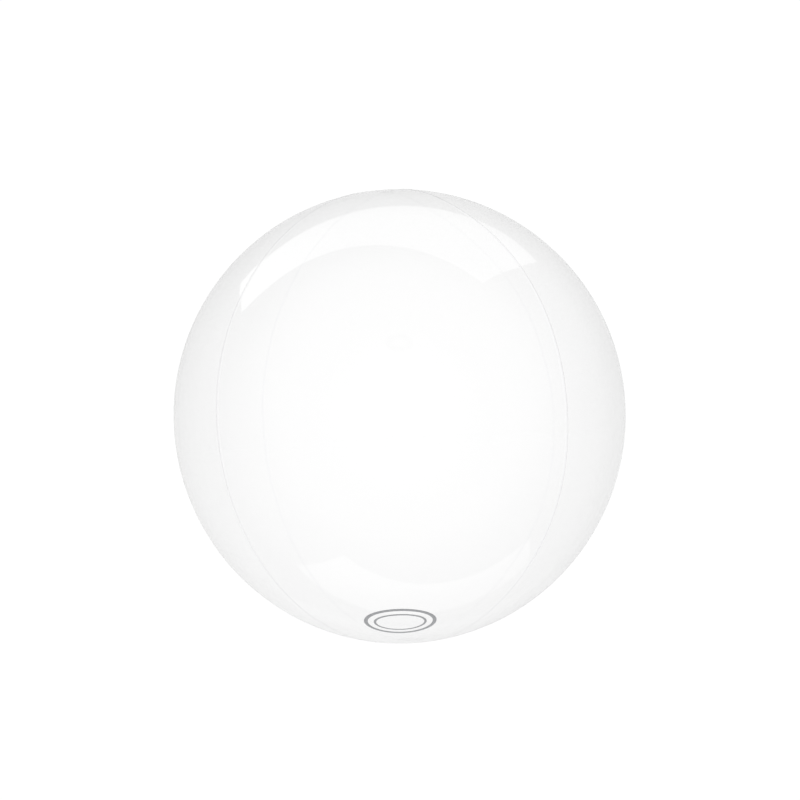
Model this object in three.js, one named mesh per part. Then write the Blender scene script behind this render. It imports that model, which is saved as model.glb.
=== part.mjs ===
// A clear bubble balloon: a sealed ball of film made of four gores welded edge to edge.
// Millimetres, +Z up. The origin is the middle of the flat spot that the ball rests on,
// and the middle of one gore faces -Y, so the seams stand at 45 degrees to the X and Y axes.
import * as THREE from "three";

// Driving dimensions
const DIAMETER = 508; // across the middle of two opposite gores
const LOWER_STRETCH = 1.01; // the lower half is this much deeper than the upper one
const GORES = 4;
const REST_RADIUS = 24; // the flat spot that keeps the ball from rolling
const SEAM_WIDTH = 2.4; // flat top of a weld
const SEAM_SLOPE = 0.8; // width of the slope from a weld down to the film, on each side
const SEAM_HEIGHT = 0.6; // how far a weld stands out from the film
const SEAM_DRAW_IN = 1.2; // how far a weld pulls the film in, halfway up
const POLE_WELD_RADIUS = 9; // round weld where the four seams meet

// Fineness of the facets
const UPPER_BANDS = 19;
const LOWER_BANDS = 18;
const FILM_COLUMNS = 18; // between the feet of two neighbouring seams

const RADIUS = DIAMETER / 2;
const GORE_ANGLE = (2 * Math.PI) / GORES;
const SEAM_FOOT = SEAM_WIDTH / 2 + SEAM_SLOPE; // half the width of a seam at its foot
const CENTRE_HEIGHT = LOWER_STRETCH * Math.sqrt(RADIUS ** 2 - REST_RADIUS ** 2);
// The radius where the top of a seam lifts off the surface that the ball rests on
const SEAM_LIFT_RADIUS = Math.sqrt(REST_RADIUS ** 2 + 2 * RADIUS * SEAM_HEIGHT);

// 1 on the flat top of a weld of the given half width, 0 beyond its slope
function weldProfile(distance, halfWidth) {
  return THREE.MathUtils.clamp(1 - (distance - halfWidth) / SEAM_SLOPE, 0, 1);
}

// How far the skin stands out from the smooth ball, on a ring of the given radius
// and at an angle from the nearest seam.
function relief(ringRadius, angleFromSeam) {
  const seam = weldProfile(ringRadius * angleFromSeam, SEAM_WIDTH / 2);
  const poleWeld = weldProfile(ringRadius, POLE_WELD_RADIUS);
  const slack = 1 - angleFromSeam / (GORE_ANGLE / 2);
  const drawIn = SEAM_DRAW_IN * slack ** 2 * (ringRadius / RADIUS) ** 2;
  return SEAM_HEIGHT * Math.max(seam, poleWeld) - drawIn;
}

// A point of the skin, from its elevation above the middle and its angle past a seam.
function skinPoint(elevation, seamIndex, angleFromSeamStart) {
  const ringRadius = RADIUS * Math.cos(elevation);
  const angleFromSeam = Math.min(angleFromSeamStart, GORE_ANGLE - angleFromSeamStart);
  const out = RADIUS + relief(ringRadius, angleFromSeam);
  const azimuth = GORE_ANGLE * (seamIndex + 0.5) + angleFromSeamStart - Math.PI / 2;
  const stretch = elevation < 0 ? LOWER_STRETCH : 1;
  const height = CENTRE_HEIGHT + out * Math.sin(elevation) * stretch;
  return new THREE.Vector3(
    out * Math.cos(elevation) * Math.cos(azimuth),
    out * Math.cos(elevation) * Math.sin(azimuth),
    ringRadius <= REST_RADIUS + 0.01 && elevation < 0 ? 0 : Math.max(0, height),
  );
}

// Elevations of the rings of vertices, from the middle of the flat spot to the top.
function ringElevations() {
  const under = (radius) => -Math.acos(radius / RADIUS);
  const over = (radius) => Math.acos(radius / RADIUS);
  const elevations = [-Math.PI / 2, under(REST_RADIUS)];
  const lift = under(SEAM_LIFT_RADIUS);
  for (let band = 0; band < LOWER_BANDS; band++) {
    elevations.push(lift * (1 - band / LOWER_BANDS));
  }
  const foot = over(POLE_WELD_RADIUS + SEAM_SLOPE);
  for (let band = 0; band <= UPPER_BANDS; band++) {
    elevations.push((foot * band) / UPPER_BANDS);
  }
  elevations.push(over(POLE_WELD_RADIUS), Math.PI / 2);
  return elevations;
}

// Angles of the columns across one gore on a ring: the seam's own edges keep their true
// width on every ring, and the film between them is shared out evenly.
function columnAngles(ringRadius) {
  const widest = GORE_ANGLE / 4; // keeps the seams apart at the very middle of a pole weld
  const edge = Math.min(SEAM_WIDTH / 2 / ringRadius, widest / 2);
  const foot = Math.min(SEAM_FOOT / ringRadius, widest);
  const angles = [0, edge];
  for (let column = 0; column <= FILM_COLUMNS; column++) {
    angles.push(foot + ((GORE_ANGLE - 2 * foot) * column) / FILM_COLUMNS);
  }
  angles.push(GORE_ANGLE - edge);
  return angles;
}

// A lathe gives the rings, columns and faces of a ball, and each vertex then moves to the skin.
function envelopeGeometry() {
  const elevations = ringElevations();
  const outline = elevations.map(
    (elevation) => new THREE.Vector2(Math.cos(elevation), Math.sin(elevation)),
  );
  const columnsPerGore = columnAngles(RADIUS).length;
  const geometry = new THREE.LatheGeometry(outline, GORES * columnsPerGore);
  const position = geometry.attributes.position;
  elevations.forEach((elevation, ring) => {
    const angles = columnAngles(Math.max(RADIUS * Math.cos(elevation), 1));
    for (let column = 0; column <= GORES * columnsPerGore; column++) {
      const seamIndex = Math.floor(column / columnsPerGore) % GORES;
      const point = skinPoint(elevation, seamIndex, angles[column % columnsPerGore]);
      position.setXYZ(column * elevations.length + ring, point.x, point.y, point.z);
    }
  });
  geometry.computeVertexNormals();
  return geometry;
}

const clearFilm = new THREE.MeshStandardMaterial({
  color: 0xf4f5f8,
  roughness: 0.06,
  metalness: 0,
  transparent: true,
  opacity: 0.2,
});

const envelope = new THREE.Mesh(envelopeGeometry(), clearFilm);
envelope.name = "balloon_envelope";

const balloon = new THREE.Group();
balloon.add(envelope);

export default balloon;
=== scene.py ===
"""Looks of a clear bubble balloon: four gores of clear film, welded into a ball.

Metres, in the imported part's own frame: the ball rests on z = 0, its poles are on the Z axis,
and the middle of the front gore faces -Y.
"""

import math

import bpy
import numpy as np
from mathutils import Matrix, Vector


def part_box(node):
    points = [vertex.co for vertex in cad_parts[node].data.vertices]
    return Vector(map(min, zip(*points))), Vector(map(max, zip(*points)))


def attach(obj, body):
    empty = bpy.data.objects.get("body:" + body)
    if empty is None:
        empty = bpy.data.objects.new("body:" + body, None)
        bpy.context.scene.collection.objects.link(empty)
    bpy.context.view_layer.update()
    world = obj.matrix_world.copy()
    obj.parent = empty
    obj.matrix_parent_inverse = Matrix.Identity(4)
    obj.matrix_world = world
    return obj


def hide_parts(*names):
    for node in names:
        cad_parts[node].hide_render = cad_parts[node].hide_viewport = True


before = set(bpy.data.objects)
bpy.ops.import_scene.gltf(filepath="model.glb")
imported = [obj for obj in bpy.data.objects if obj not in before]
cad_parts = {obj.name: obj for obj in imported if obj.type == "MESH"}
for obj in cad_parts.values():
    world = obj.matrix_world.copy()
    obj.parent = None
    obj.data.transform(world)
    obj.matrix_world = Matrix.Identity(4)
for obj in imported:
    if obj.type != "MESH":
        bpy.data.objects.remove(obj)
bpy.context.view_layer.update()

# ---------------------------------------------------------------- driving dimensions, metres

BALL_LOW, BALL_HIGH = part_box("balloon_envelope")
RADIUS = (BALL_HIGH.x - BALL_LOW.x) / 2
FILM_THICKNESS = 0.0002
# The flat spot that the ball rests on
REST_RADIUS = 0.024

GORES = 4
GORE_ANGLE = 2 * math.pi / GORES

SEAM_WIDTH = 0.0020
SEAM_SLOPE = 0.0010
# How far the welds draw the film in at the ball's widest ring
SEAM_DRAW_IN = 0.0008
# The height of each seam's weld, from the front right one round through the back
SEAM_HEIGHTS = (0.00052, 0.00015, 0.00015, 0.00042)
# A weld's share of its height at some elevations, in degrees: it is flatter near the poles
WELD_SHARES = (
    (-90, 0.1), (-60, 0.12), (-45, 0.35), (-25, 0.9), (-10, 1), (20, 1), (45, 0.7), (90, 0.5),
)
# How many degrees a seam leans off its meridian at each of the elevations, away from the ball's
# right or left side
LEAN_ELEVATIONS = (-65, -40, -10, 15, 40, 65)
RIGHT_LEANS = (5, 1, -0.6, 0.3, 3.2, 11)
LEFT_LEANS = (0.5, 0.5, 0, 0, 1.3, 3.5)

# The small waves that run along a seam and fade away from it
PUCKER_HEIGHT = 0.00002
PUCKER_REACH = 0.012
# The share, the length over 2 pi and the phase of each wave
PUCKER_WAVES = ((1, 0.0041, 0), (0.7, 0.0057, 1.3))

POLE_WELD_RADIUS = 0.009
POLE_WELD_HEIGHT = 0.0006

CENTRE_HEIGHT = BALL_HIGH.z - RADIUS - POLE_WELD_HEIGHT
CENTRE = Vector((0, 0, CENTRE_HEIGHT))
LOWER_STRETCH = CENTRE_HEIGHT / math.sqrt(RADIUS**2 - REST_RADIUS**2)

PRINT_ELEVATION = math.radians(-59.2)
PRINT_AZIMUTH = math.radians(-91.1)
PRINT_THICKNESS = 0.00004
# Half-width, half-height and line width of each printed oval, along the film
PRINT_OVALS = ((0.0385, 0.0300, 0.0040), (0.0280, 0.0195, 0.0025))

# The film's mesh: the gap between rings, and the radii of the closer ones on and round the flat
# spot and towards the top pole
RING_SPACING = 0.0054
UNDER_RINGS = (0, 0.008, 0.016, REST_RADIUS, 0.0255, 0.0275, 0.030, 0.033)
TOP_RINGS = (
    0.037, 0.033, 0.029, 0.025, 0.021, 0.018, 0.0155, 0.0135, 0.012,
    0.011, 0.0104, 0.0098, 0.0094, 0.0090, 0.0086, 0.008, 0.006, 0.003, 0,
)
# Columns on each half of a weld, on its slope, and across the film between two seams
WELD_COLUMNS = 4
SLOPE_COLUMNS = 5
FILM_COLUMNS = 50
# Arcs past the slope of the columns that follow the pucker
PUCKER_COLUMNS = (0.0005, 0.0016, 0.0036, 0.0070, 0.0130)
# The most of a gore's arc that the columns beside one seam take, where the gore is narrow
SEAM_COLUMNS_SHARE = 0.35


# ---------------------------------------------------------------- the film's shape


def curve_through(places, values):
    """The smooth curve through a few points."""
    return np.polynomial.Polynomial.fit(places, values, len(places) - 1)


def smooth_step(t):
    """0 to 1 as t goes from 0 to 1, level at both ends."""
    return t * t * (3 - 2 * t)


def weld_profile(distance, half_width):
    """1 on a weld's flat top, 0 past its slope, with a rounded edge between."""
    return smooth_step(np.clip(1 - (distance - half_width) / SEAM_SLOPE, 0, 1))


def film_radius(elevation, from_seam):
    """Distance of the bare film from the ball's centre: each weld draws it in and puckers it."""
    width = np.cos(elevation)
    nearness = 1 - from_seam / (GORE_ANGLE / 2)
    along = RADIUS * elevation
    pucker = sum(share * np.sin(along / length + phase) for share, length, phase in PUCKER_WAVES)
    fade = np.exp(-RADIUS * width * from_seam / PUCKER_REACH) * width
    return RADIUS - SEAM_DRAW_IN * nearness**2 * width**2 + PUCKER_HEIGHT * pucker * fade


def weld_height(elevation, from_seam, seam_height):
    """How far a weld stands out of the film: along the seams, and in a disc at each pole."""
    ring_radius = RADIUS * np.cos(elevation)
    share = np.interp(np.degrees(elevation), *zip(*WELD_SHARES))
    seam = seam_height * share * weld_profile(ring_radius * from_seam, SEAM_WIDTH / 2)
    pole = POLE_WELD_HEIGHT * weld_profile(ring_radius, POLE_WELD_RADIUS)
    return np.maximum(seam, pole)


def seam_lean(seam, elevation):
    """Angle that a seam's lean adds to its azimuth, on the smooth curve through its leans."""
    leans = RIGHT_LEANS if seam < GORES / 2 else LEFT_LEANS
    sign = 1 if seam % 2 else -1
    curve = curve_through(np.sin(np.radians(LEAN_ELEVATIONS)), leans)
    return sign * np.radians(curve(np.sin(elevation)))


def place(radius, elevation, azimuth):
    """Points at these distances from the centre. The lower half is a little deeper."""
    stretch = np.where(elevation < 0, LOWER_STRETCH, 1)
    height = CENTRE_HEIGHT + radius * np.sin(elevation) * stretch
    return np.stack(
        [
            radius * np.cos(elevation) * np.cos(azimuth),
            radius * np.cos(elevation) * np.sin(azimuth),
            height,
        ],
        axis=-1,
    )


def ring_elevations():
    """Elevations of the rings, close together at the flat spot's rim and at the pole weld."""
    lower = [-math.acos(radius / RADIUS) for radius in UNDER_RINGS]
    upper = [math.acos(radius / RADIUS) for radius in TOP_RINGS]
    steps = round((upper[0] - lower[-1]) * RADIUS / RING_SPACING)
    middle = np.linspace(lower[-1], upper[0], steps + 1)[1:-1]
    return np.array([*lower, *middle, *upper])


def column_arcs():
    """Arcs past a seam's middle of the columns that follow its weld, slope and pucker."""
    weld = np.linspace(0, SEAM_WIDTH / 2, WELD_COLUMNS)
    slope = weld[-1] + np.linspace(1 / SLOPE_COLUMNS, 1, SLOPE_COLUMNS) * SEAM_SLOPE
    pucker = slope[-1] + np.array(PUCKER_COLUMNS)
    return np.concatenate([weld, slope, pucker])


def column_angles(ring_radius):
    """Angles past a seam's middle of the columns in one gore, on each ring."""
    # The poles' rings have no arc of their own
    least_radius = 1e-4
    gore_arc = np.maximum(ring_radius, least_radius)[:, None] * GORE_ANGLE
    near = column_arcs()
    near = near * np.minimum(1, SEAM_COLUMNS_SHARE * gore_arc / near[-1])
    share = np.linspace(0, 1, FILM_COLUMNS + 1)[1:-1]
    film = near[:, -1:] + (gore_arc - 2 * near[:, -1:]) * share
    arcs = np.concatenate([near, film, gore_arc - near[:, :0:-1]], axis=1)
    return arcs / gore_arc * GORE_ANGLE


def skin_grid():
    """The outer points and the inner points, each rings x columns x 3, and which quads between
    them are weld."""
    elevation = ring_elevations()
    ring_radius = RADIUS * np.cos(elevation)
    past_seam = column_angles(ring_radius)
    from_seam = np.minimum(past_seam, GORE_ANGLE - past_seam)
    rings = elevation[:, None]
    film = film_radius(rings, from_seam)
    across = smooth_step(past_seam / GORE_ANGLE)
    outer, inner = [], []
    for gore in range(GORES):
        after = (gore + 1) % GORES
        height = np.where(across < 0.5, SEAM_HEIGHTS[gore], SEAM_HEIGHTS[after])
        skin = film + weld_height(rings, from_seam, height)
        lean = seam_lean(gore, rings) * (1 - across) + seam_lean(after, rings) * across
        azimuth = GORE_ANGLE * (gore + 0.5) - math.pi / 2 + past_seam + lean
        outer.append(place(skin, rings, azimuth))
        inner.append(place(skin - FILM_THICKNESS, rings, azimuth))
    outer = np.concatenate(outer, axis=1)
    inner = np.concatenate(inner, axis=1)
    outer[..., 2] = np.maximum(outer[..., 2], 0)
    inner[..., 2] = np.maximum(inner[..., 2], FILM_THICKNESS)
    return outer, inner, weld_quads(ring_radius, past_seam.shape[1])


def weld_quads(ring_radius, gore_columns):
    """Which quads are weld, out to the middle of its slope: rings x columns."""
    seam_quads = int((column_arcs() < SEAM_WIDTH / 2 + SEAM_SLOPE / 2).sum()) - 1
    quad = np.arange(gore_columns)
    in_seam = np.minimum(quad, gore_columns - 1 - quad) < seam_quads
    tolerance = 1e-4
    in_pole = np.maximum(ring_radius[:-1], ring_radius[1:]) <= POLE_WELD_RADIUS + tolerance
    return in_pole[:, None] | np.tile(in_seam, GORES)[None, :]


def ball_faces(rings, columns, first, inward):
    """Quads between rings and triangles at the two poles, for a grid of shared vertices, ring
    by ring."""

    def at(ring, column):
        return first + 1 + (ring - 1) * columns + column % columns

    south, north = first, first + 1 + (rings - 2) * columns
    faces = []
    for r in range(rings - 1):
        for c in range(columns):
            if r == 0:
                face = (south, at(1, c + 1), at(1, c))
            elif r == rings - 2:
                face = (at(r, c), at(r, c + 1), north)
            else:
                face = (at(r, c), at(r, c + 1), at(r + 1, c + 1), at(r + 1, c))
            faces.append(face[::-1] if inward else face)
    return faces


def ball_vertices(grid):
    """The grid's points with each pole as one vertex."""
    middle = grid[1:-1].reshape(-1, 3)
    return np.concatenate([grid[0, :1], middle, grid[-1, :1]])


def new_object(name, vertices, faces, materials, slots=None):
    """A smooth mesh object in the scene. Slots gives each face's material, else it is the first."""
    mesh = bpy.data.meshes.new(name)
    mesh.from_pydata([tuple(map(float, v)) for v in vertices], [], faces)
    for material in materials:
        mesh.materials.append(material)
    if slots is not None:
        mesh.polygons.foreach_set("material_index", np.array(slots, np.int32))
    mesh.shade_smooth()
    mesh.update()
    obj = bpy.data.objects.new(name, mesh)
    bpy.context.scene.collection.objects.link(obj)
    return obj


# ---------------------------------------------------------------- materials


def principled(name, **values):
    """A material with one Principled shader, its plain values set on the shader's own sockets."""
    material = bpy.data.materials.new(name)
    material.use_nodes = True
    shader = material.node_tree.nodes["Principled BSDF"]
    for socket, value in values.items():
        shader.inputs[socket.replace("_", " ")].default_value = value
    return material, material.node_tree, shader


def noise(tree, scale, detail):
    """A noise pattern fixed to the piece; scale is in waves per metre."""
    coordinates = tree.nodes.new("ShaderNodeTexCoord")
    pattern = tree.nodes.new("ShaderNodeTexNoise")
    pattern.inputs["Scale"].default_value = scale
    pattern.inputs["Detail"].default_value = detail
    tree.links.new(coordinates.outputs["Object"], pattern.inputs["Vector"])
    return pattern.outputs["Fac"]


def between(tree, factor, low, high):
    """The pattern's 0.3 to 0.7 spread from low to high."""
    spread = tree.nodes.new("ShaderNodeMapRange")
    spread.inputs["From Min"].default_value = 0.3
    spread.inputs["From Max"].default_value = 0.7
    spread.inputs["To Min"].default_value = low
    spread.inputs["To Max"].default_value = high
    tree.links.new(factor, spread.inputs["Value"])
    return spread.outputs["Result"]


def bump(tree, shader, height, depth):
    """Relief too fine for the mesh; depth in metres."""
    relief = tree.nodes.new("ShaderNodeBump")
    relief.inputs["Strength"].default_value = 1.0
    relief.inputs["Distance"].default_value = depth
    tree.links.new(height, relief.inputs["Height"])
    tree.links.new(relief.outputs["Normal"], shader.inputs["Normal"])


def mixed_colour(tree, factor, first, second):
    """Each of first and second is an output socket or a plain (r, g, b, 1)."""
    mix = tree.nodes.new("ShaderNodeMix")
    mix.data_type = "RGBA"
    tree.links.new(factor, mix.inputs[0])
    for socket, value in ((mix.inputs[6], first), (mix.inputs[7], second)):
        if isinstance(value, tuple):
            socket.default_value = value
        else:
            tree.links.new(value, socket)
    return mix.outputs[2]


def outer_film_material():
    """Clear glossy film. Slow waves in it bend the reflections very slightly."""
    material, tree, shader = principled(
        "film_outer",
        Base_Color=(1.0, 1.0, 1.0, 1),
        Transmission_Weight=1.0,
        IOR=1.5,
        Roughness=0.0,
    )
    bump(tree, shader, noise(tree, scale=14, detail=1.0), depth=0.00012)
    return material


def inner_film_material():
    """The film's inner side: clear, with a breath of haze that comes and goes."""
    material, tree, shader = principled(
        "film_inner",
        Base_Color=(1.0, 1.0, 1.0, 1),
        Transmission_Weight=1.0,
        IOR=1.5,
    )
    haze = between(tree, noise(tree, scale=9, detail=2.0), low=0.035, high=0.055)
    tree.links.new(haze, shader.inputs["Roughness"])
    return material


def weld_material():
    """Film melted together: hazier than the rest, with a fine grain."""
    material, tree, shader = principled(
        "film_weld",
        Base_Color=(0.98, 0.98, 0.985, 1),
        Transmission_Weight=1.0,
        IOR=1.5,
    )
    haze = between(tree, noise(tree, scale=900, detail=2.0), low=0.07, high=0.11)
    tree.links.new(haze, shader.inputs["Roughness"])
    return material


def ink_material():
    """Slate grey screen-printed ink, slightly mottled, with a faint grain."""
    material, tree, shader = principled("ink_grey", Roughness=0.45, Specular_IOR_Level=0.4)
    mottle = between(tree, noise(tree, scale=260, detail=3.0), low=0, high=1)
    colour = mixed_colour(tree, mottle, (0.30, 0.306, 0.318, 1), (0.35, 0.356, 0.368, 1))
    tree.links.new(colour, shader.inputs["Base Color"])
    bump(tree, shader, noise(tree, scale=1500, detail=2.0), depth=0.00001)
    return material


# ---------------------------------------------------------------- pieces


def make_envelope():
    """The film: an outer and an inner skin, each a closed ball, with its welds."""
    materials = [outer_film_material(), inner_film_material(), weld_material()]
    outer_slot, inner_slot, weld_slot = range(3)
    outer, inner, welded = skin_grid()
    rings, columns = outer.shape[:2]
    outer_vertices, inner_vertices = ball_vertices(outer), ball_vertices(inner)
    outer_faces = ball_faces(rings, columns, 0, inward=False)
    inner_faces = ball_faces(rings, columns, len(outer_vertices), inward=True)
    outer_slots = np.where(welded, weld_slot, outer_slot)
    inner_slots = np.where(welded, weld_slot, inner_slot)
    return new_object(
        "balloon_film",
        np.concatenate([outer_vertices, inner_vertices]),
        outer_faces + inner_faces,
        materials,
        np.concatenate([outer_slots.ravel(), inner_slots.ravel()]),
    )


def print_point(right, up, height):
    """A point of the print: right and up along the film from the print's middle, and height
    above the film, all in metres."""
    across, down = math.cos(PRINT_ELEVATION), math.sin(PRINT_ELEVATION)
    east, north = math.cos(PRINT_AZIMUTH), math.sin(PRINT_AZIMUTH)
    middle = np.array([across * east, across * north, down])
    rightwards = np.array([-north, east, 0])
    upwards = np.cross(middle, rightwards)
    away = np.hypot(right, up)
    along = (right[:, None] * rightwards + up[:, None] * upwards) / away[:, None]
    turned = (away / RADIUS)[:, None]
    x, y, z = (middle * np.cos(turned) + along * np.sin(turned)).T
    elevation, azimuth = np.arcsin(z), np.arctan2(y, x)
    from_seam = GORE_ANGLE / 2 - np.abs(azimuth + math.pi / 2)
    return place(film_radius(elevation, from_seam) + height, elevation, azimuth)


def make_print():
    """Plain printed decoration: an oval outline with a thinner one inside it."""
    sides = 160
    turn = np.linspace(0, 2 * math.pi, sides, endpoint=False)
    vertices, faces = [], []
    for wide, tall, line in PRINT_OVALS:
        first = len(vertices)
        # The line's closed section: over its top, and back underneath, within the film
        edges = ((wide, tall), (wide - line / 2, tall - line / 2), (wide - line, tall - line))
        under = [(*edge, -FILM_THICKNESS / 2) for edge in reversed(edges)]
        section = [(*edge, PRINT_THICKNESS) for edge in edges] + under
        for half_width, half_height, height in section:
            right, up = half_width * np.cos(turn), half_height * np.sin(turn)
            vertices.extend(print_point(right, up, height))
        for loop in range(len(section)):
            here, after = first + loop * sides, first + (loop + 1) % len(section) * sides
            for a in range(sides):
                b = (a + 1) % sides
                faces.append((here + a, here + b, after + b, after + a))
    return new_object("printed_oval", vertices, faces, [ink_material()])


# ---------------------------------------------------------------- studio and camera

CAMERA_AZIMUTH = math.radians(2.95)
CAMERA_ELEVATION = math.radians(-0.7)
CAMERA_ROLL = math.radians(2.58)
CAMERA_DISTANCE = 7.6 * RADIUS
# The ball's width, and how far it stands below and left of the middle, in widths of the picture
BALL_WIDTH_SHARE = 0.5655
BALL_DROP_SHARE = 0.0187
BALL_LEFT_SHARE = 0.0005

# What the camera and the ink see of the studio
DIRECT_WHITE = 1.04
# What the film's reflections see of it: (degrees from the line towards the camera, grey)
TONES_LOW = (
    (180, 1.15), (160, 1.12), (152, 0.985), (143, 0.93), (128, 0.89),
    (106, 0.71), (89, 0.735), (74, 0.70), (60, 0.73), (47, 0.74), (30, 0.815),
)
TONES_HIGH = (
    (180, 0.91), (160, 0.87), (152, 0.765), (143, 0.69), (128, 0.595),
    (106, 0.47), (89, 0.51), (74, 0.64), (60, 0.73), (47, 0.74), (30, 0.815),
)
# The low tones give way to the high ones as a direction's rise goes over this reach. This much
# of its share to the right counts as rise too.
TONE_REACH = (-0.75, 0.35)
TONE_LEAN = 0.25

# A panel light is flat, and lies between smooth curves from its left end to its right end. Each
# curve is the points that it goes through: how far they are along the camera's right, then how
# far forward, in multiples of the panel's height above the ball's centre.
FRONT_PANEL = (
    ((-1.21, -0.62, 0.0, 0.50, 0.90), (1.08, 0.82, 0.775, 0.88, 0.87)),
    ((-1.37, 0.807), (0.80, 0.377)),
    ((-1.546, -1.20, -0.66, 0.0, 0.636), (0.579, 0.385, 0.197, 0.0, -0.165)),
)
REAR_PANEL = (
    ((-0.903, -0.099, 0.705), (0.958, 0.838, 0.518)),
    ((-1.080, -0.331, 0.418), (0.553, 0.314, -0.025)),
)
FRONT_PANEL_HEIGHT = 40 * RADIUS
REAR_PANEL_HEIGHT = 42 * RADIUS
PANEL_STEPS = 24
# A panel's strength left of its fade and right of it, and the fade's ends in panel heights
FRONT_STRENGTHS = (1.10, 0.90)
REAR_STRENGTHS = (0.87, 0.87)
PANEL_FADE = (-1.0, -0.3)
# Light mirrored by the skin nearer the camera has gone through fewer film sides than this, and
# light mirrored by the farther skin through more
SKIN_DEPTH = 3

FLOOR_HALF = 60.0
# How far the floor is under the ball
FLOOR_GAP = 0.0005
FLOOR_ALBEDO = 0.03


def camera_axes():
    """Columns are the camera's right, the way it looks (forward), and its up."""
    turn = Matrix.Rotation(CAMERA_AZIMUTH, 3, "Z")
    lift = Matrix.Rotation(-CAMERA_ELEVATION, 3, "X")
    roll = Matrix.Rotation(CAMERA_ROLL, 3, "Y")
    return turn @ lift @ roll


def make_camera():
    """The photo's view: the ball's size in the picture sets the lens, and its place in it sets
    how far the camera looks past the ball's centre."""
    data = bpy.data.cameras.new("camera")
    data.sensor_width = 36
    tangent = 1 / math.sqrt((CAMERA_DISTANCE / RADIUS) ** 2 - 1)
    data.lens = data.sensor_width / 2 * BALL_WIDTH_SHARE / tangent
    data.clip_end = 200
    camera = bpy.data.objects.new("camera", data)
    bpy.context.scene.collection.objects.link(camera)
    axes = camera_axes()
    right, forward, up = axes.col[0], axes.col[1], axes.col[2]
    aside = (right * BALL_LEFT_SHARE + up * BALL_DROP_SHARE) * data.sensor_width / data.lens
    look = (forward + aside).normalized()
    side = look.cross(up).normalized()
    top = side.cross(look)
    camera.matrix_world = Matrix.Translation(CENTRE - forward * CAMERA_DISTANCE) @ Matrix(
        (
            (side.x, top.x, -look.x, 0),
            (side.y, top.y, -look.y, 0),
            (side.z, top.z, -look.z, 0),
            (0, 0, 0, 1),
        )
    )
    bpy.context.scene.camera = camera


def panel_material(name, height, strengths, comparison):
    """A glow for light whose transmission depth compares so with SKIN_DEPTH. Other light goes
    through."""
    material = bpy.data.materials.new(name)
    material.use_nodes = True
    tree = material.node_tree
    tree.nodes.remove(tree.nodes["Principled BSDF"])
    path = tree.nodes.new("ShaderNodeLightPath")
    test = tree.nodes.new("ShaderNodeMath")
    test.operation = comparison
    test.inputs[1].default_value = SKIN_DEPTH
    tree.links.new(path.outputs["Transmission Depth"], test.inputs[0])
    glow = tree.nodes.new("ShaderNodeEmission")
    position = tree.nodes.new("ShaderNodeNewGeometry").outputs["Position"]
    left, right = (end * height for end in PANEL_FADE)
    strength = along_axis(tree, position, camera_axes().col[0], left, right, *strengths)
    tree.links.new(strength, glow.inputs["Strength"])
    mix = tree.nodes.new("ShaderNodeMixShader")
    tree.links.new(test.outputs[0], mix.inputs[0])
    tree.links.new(tree.nodes.new("ShaderNodeBsdfTransparent").outputs[0], mix.inputs[1])
    tree.links.new(glow.outputs[0], mix.inputs[2])
    tree.links.new(mix.outputs[0], tree.nodes["Material Output"].inputs["Surface"])
    return material


def make_panel(name, height, curves, material):
    """A panel light above the ball, with a strip of quads between each curve and the next."""
    axes = camera_axes()
    row = PANEL_STEPS + 1
    vertices, faces = [], []
    for rights, forwards in curves:
        forward = curve_through(rights, forwards)
        for right in np.linspace(rights[0], rights[-1], row):
            vertices.append(CENTRE + axes @ Vector((right, forward(right), 1)) * height)
    for strip in range(len(curves) - 1):
        for i in range(strip * row, strip * row + PANEL_STEPS):
            faces.append((i, i + 1, row + i + 1, row + i))
    panel = new_object(name, vertices, faces, [material])
    panel.visible_camera = False


def make_panels():
    """The skin nearer the camera mirrors one panel. The farther skin mirrors a smaller one."""
    front = panel_material("panel_outside", FRONT_PANEL_HEIGHT, FRONT_STRENGTHS, "LESS_THAN")
    rear = panel_material("panel_inside", REAR_PANEL_HEIGHT, REAR_STRENGTHS, "GREATER_THAN")
    make_panel("front_panel", FRONT_PANEL_HEIGHT, FRONT_PANEL, front)
    make_panel("rear_panel", REAR_PANEL_HEIGHT, REAR_PANEL, rear)


def tone_ramp(tree, place_on_ramp, stops):
    """Grey by the place on the ramp: 0 is straight away from the camera and 1 is towards it."""
    ramp = tree.nodes.new("ShaderNodeValToRGB")
    ramp.color_ramp.interpolation = "CARDINAL"
    tree.links.new(place_on_ramp, ramp.inputs["Fac"])
    elements = ramp.color_ramp.elements
    while len(elements) < len(stops):
        elements.new(0.5)
    for element, (angle, value) in zip(elements, stops):
        element.position = (math.cos(math.radians(angle)) + 1) / 2
        element.color = (value, value, value, 1)
    return ramp.outputs["Color"]


def along_axis(tree, vector, axis, low, high, start=0.0, end=1.0):
    """From start to end as the vector's reach along the axis goes from low to high."""
    reach = tree.nodes.new("ShaderNodeVectorMath")
    reach.operation = "DOT_PRODUCT"
    reach.inputs[1].default_value = tuple(axis)
    tree.links.new(vector, reach.inputs[0])
    spread = tree.nodes.new("ShaderNodeMapRange")
    spread.inputs["From Min"].default_value = low
    spread.inputs["From Max"].default_value = high
    spread.inputs["To Min"].default_value = start
    spread.inputs["To Max"].default_value = end
    tree.links.new(reach.outputs["Value"], spread.inputs["Value"])
    return spread.outputs["Result"]


def reflected_tone(tree, direction):
    """The studio's tone in a direction from the ball, as its reflections show it."""
    axes = camera_axes()
    right, forward, up = axes.col[0], axes.col[1], axes.col[2]
    towards_camera = along_axis(tree, direction, -forward, -1, 1)
    upwards = along_axis(tree, direction, up + TONE_LEAN * right, *TONE_REACH)
    low = tone_ramp(tree, towards_camera, TONES_LOW)
    high = tone_ramp(tree, towards_camera, TONES_HIGH)
    return mixed_colour(tree, upwards, low, high)


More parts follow.
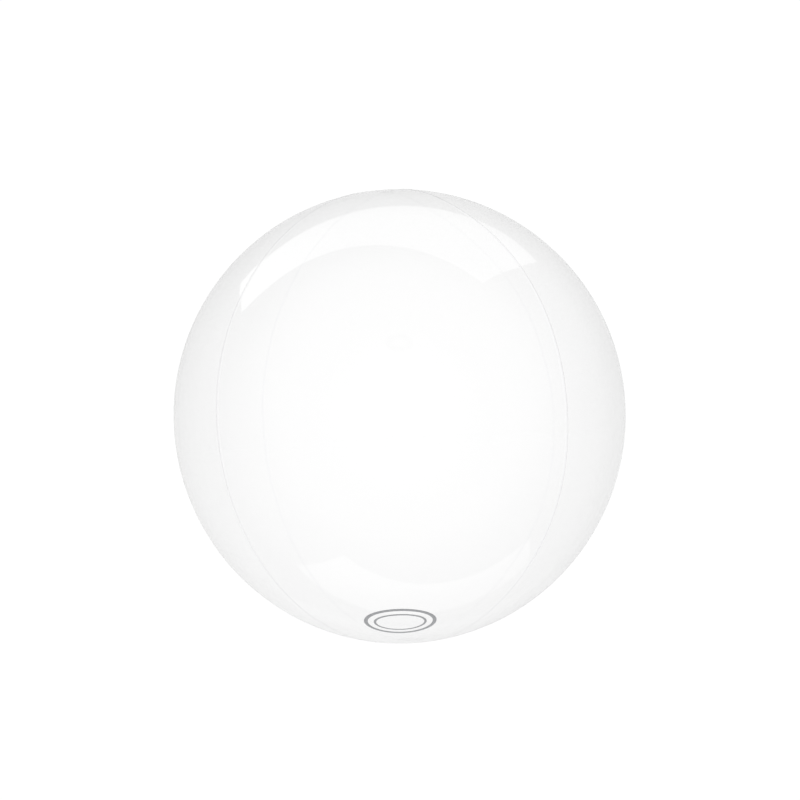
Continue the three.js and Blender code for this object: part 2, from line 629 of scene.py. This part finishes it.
def mirrored(tree):
    """1 for light the film mirrors on its way to the camera, else 0 (as for what lights ink)."""
    path = tree.nodes.new("ShaderNodeLightPath")
    tests = []
    for depth, operation in (("Glossy Depth", "GREATER_THAN"), ("Diffuse Depth", "LESS_THAN")):
        test = tree.nodes.new("ShaderNodeMath")
        test.operation = operation
        test.inputs[1].default_value = 0.5
        tree.links.new(path.outputs[depth], test.inputs[0])
        tests.append(test.outputs[0])
    both = tree.nodes.new("ShaderNodeMath")
    both.operation = "MULTIPLY"
    tree.links.new(tests[0], both.inputs[0])
    tree.links.new(tests[1], both.inputs[1])
    return both.outputs[0]


def make_world():
    """White straight through the film, and softer tones in its reflections."""
    world = bpy.data.worlds.new("studio")
    bpy.context.scene.world = world
    world.use_nodes = True
    tree = world.node_tree
    direction = tree.nodes.new("ShaderNodeTexCoord").outputs["Generated"]
    white = (DIRECT_WHITE, DIRECT_WHITE, DIRECT_WHITE, 1)
    tone = mixed_colour(tree, mirrored(tree), white, reflected_tone(tree, direction))
    tree.links.new(tone, tree.nodes["Background"].inputs["Color"])


def make_floor():
    """A plain white floor that mostly glows, so that it has no visible end. The film's
    reflections look past it at the studio's tones."""
    material, tree, shader = principled(
        "floor_white",
        Base_Color=(FLOOR_ALBEDO, FLOOR_ALBEDO, FLOOR_ALBEDO, 1),
        Roughness=1.0,
        Specular_IOR_Level=0.0,
        Emission_Color=(1, 1, 1, 1),
        Emission_Strength=DIRECT_WHITE - FLOOR_ALBEDO,
    )
    look_past = tree.nodes.new("ShaderNodeBsdfTransparent")
    mix = tree.nodes.new("ShaderNodeMixShader")
    tree.links.new(mirrored(tree), mix.inputs[0])
    tree.links.new(shader.outputs[0], mix.inputs[1])
    tree.links.new(look_past.outputs[0], mix.inputs[2])
    tree.links.new(mix.outputs[0], tree.nodes["Material Output"].inputs["Surface"])
    corners = [(x * FLOOR_HALF, y * FLOOR_HALF, 0) for x, y in ((-1, -1), (1, -1), (1, 1), (-1, 1))]
    floor = new_object("floor", corners, [(0, 1, 2, 3)], [material])
    floor.location.z = -FLOOR_GAP


scene = bpy.context.scene
scene.view_settings.view_transform = "Standard"
# Light goes through many film sides on its way
scene.cycles.max_bounces = 32
scene.cycles.glossy_bounces = 16
scene.cycles.transmission_bounces = 24

envelope = make_envelope()
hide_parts("balloon_envelope")
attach(envelope, "root")

printed_oval = make_print()
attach(printed_oval, "root")

make_camera()
make_panels()
make_world()
make_floor()
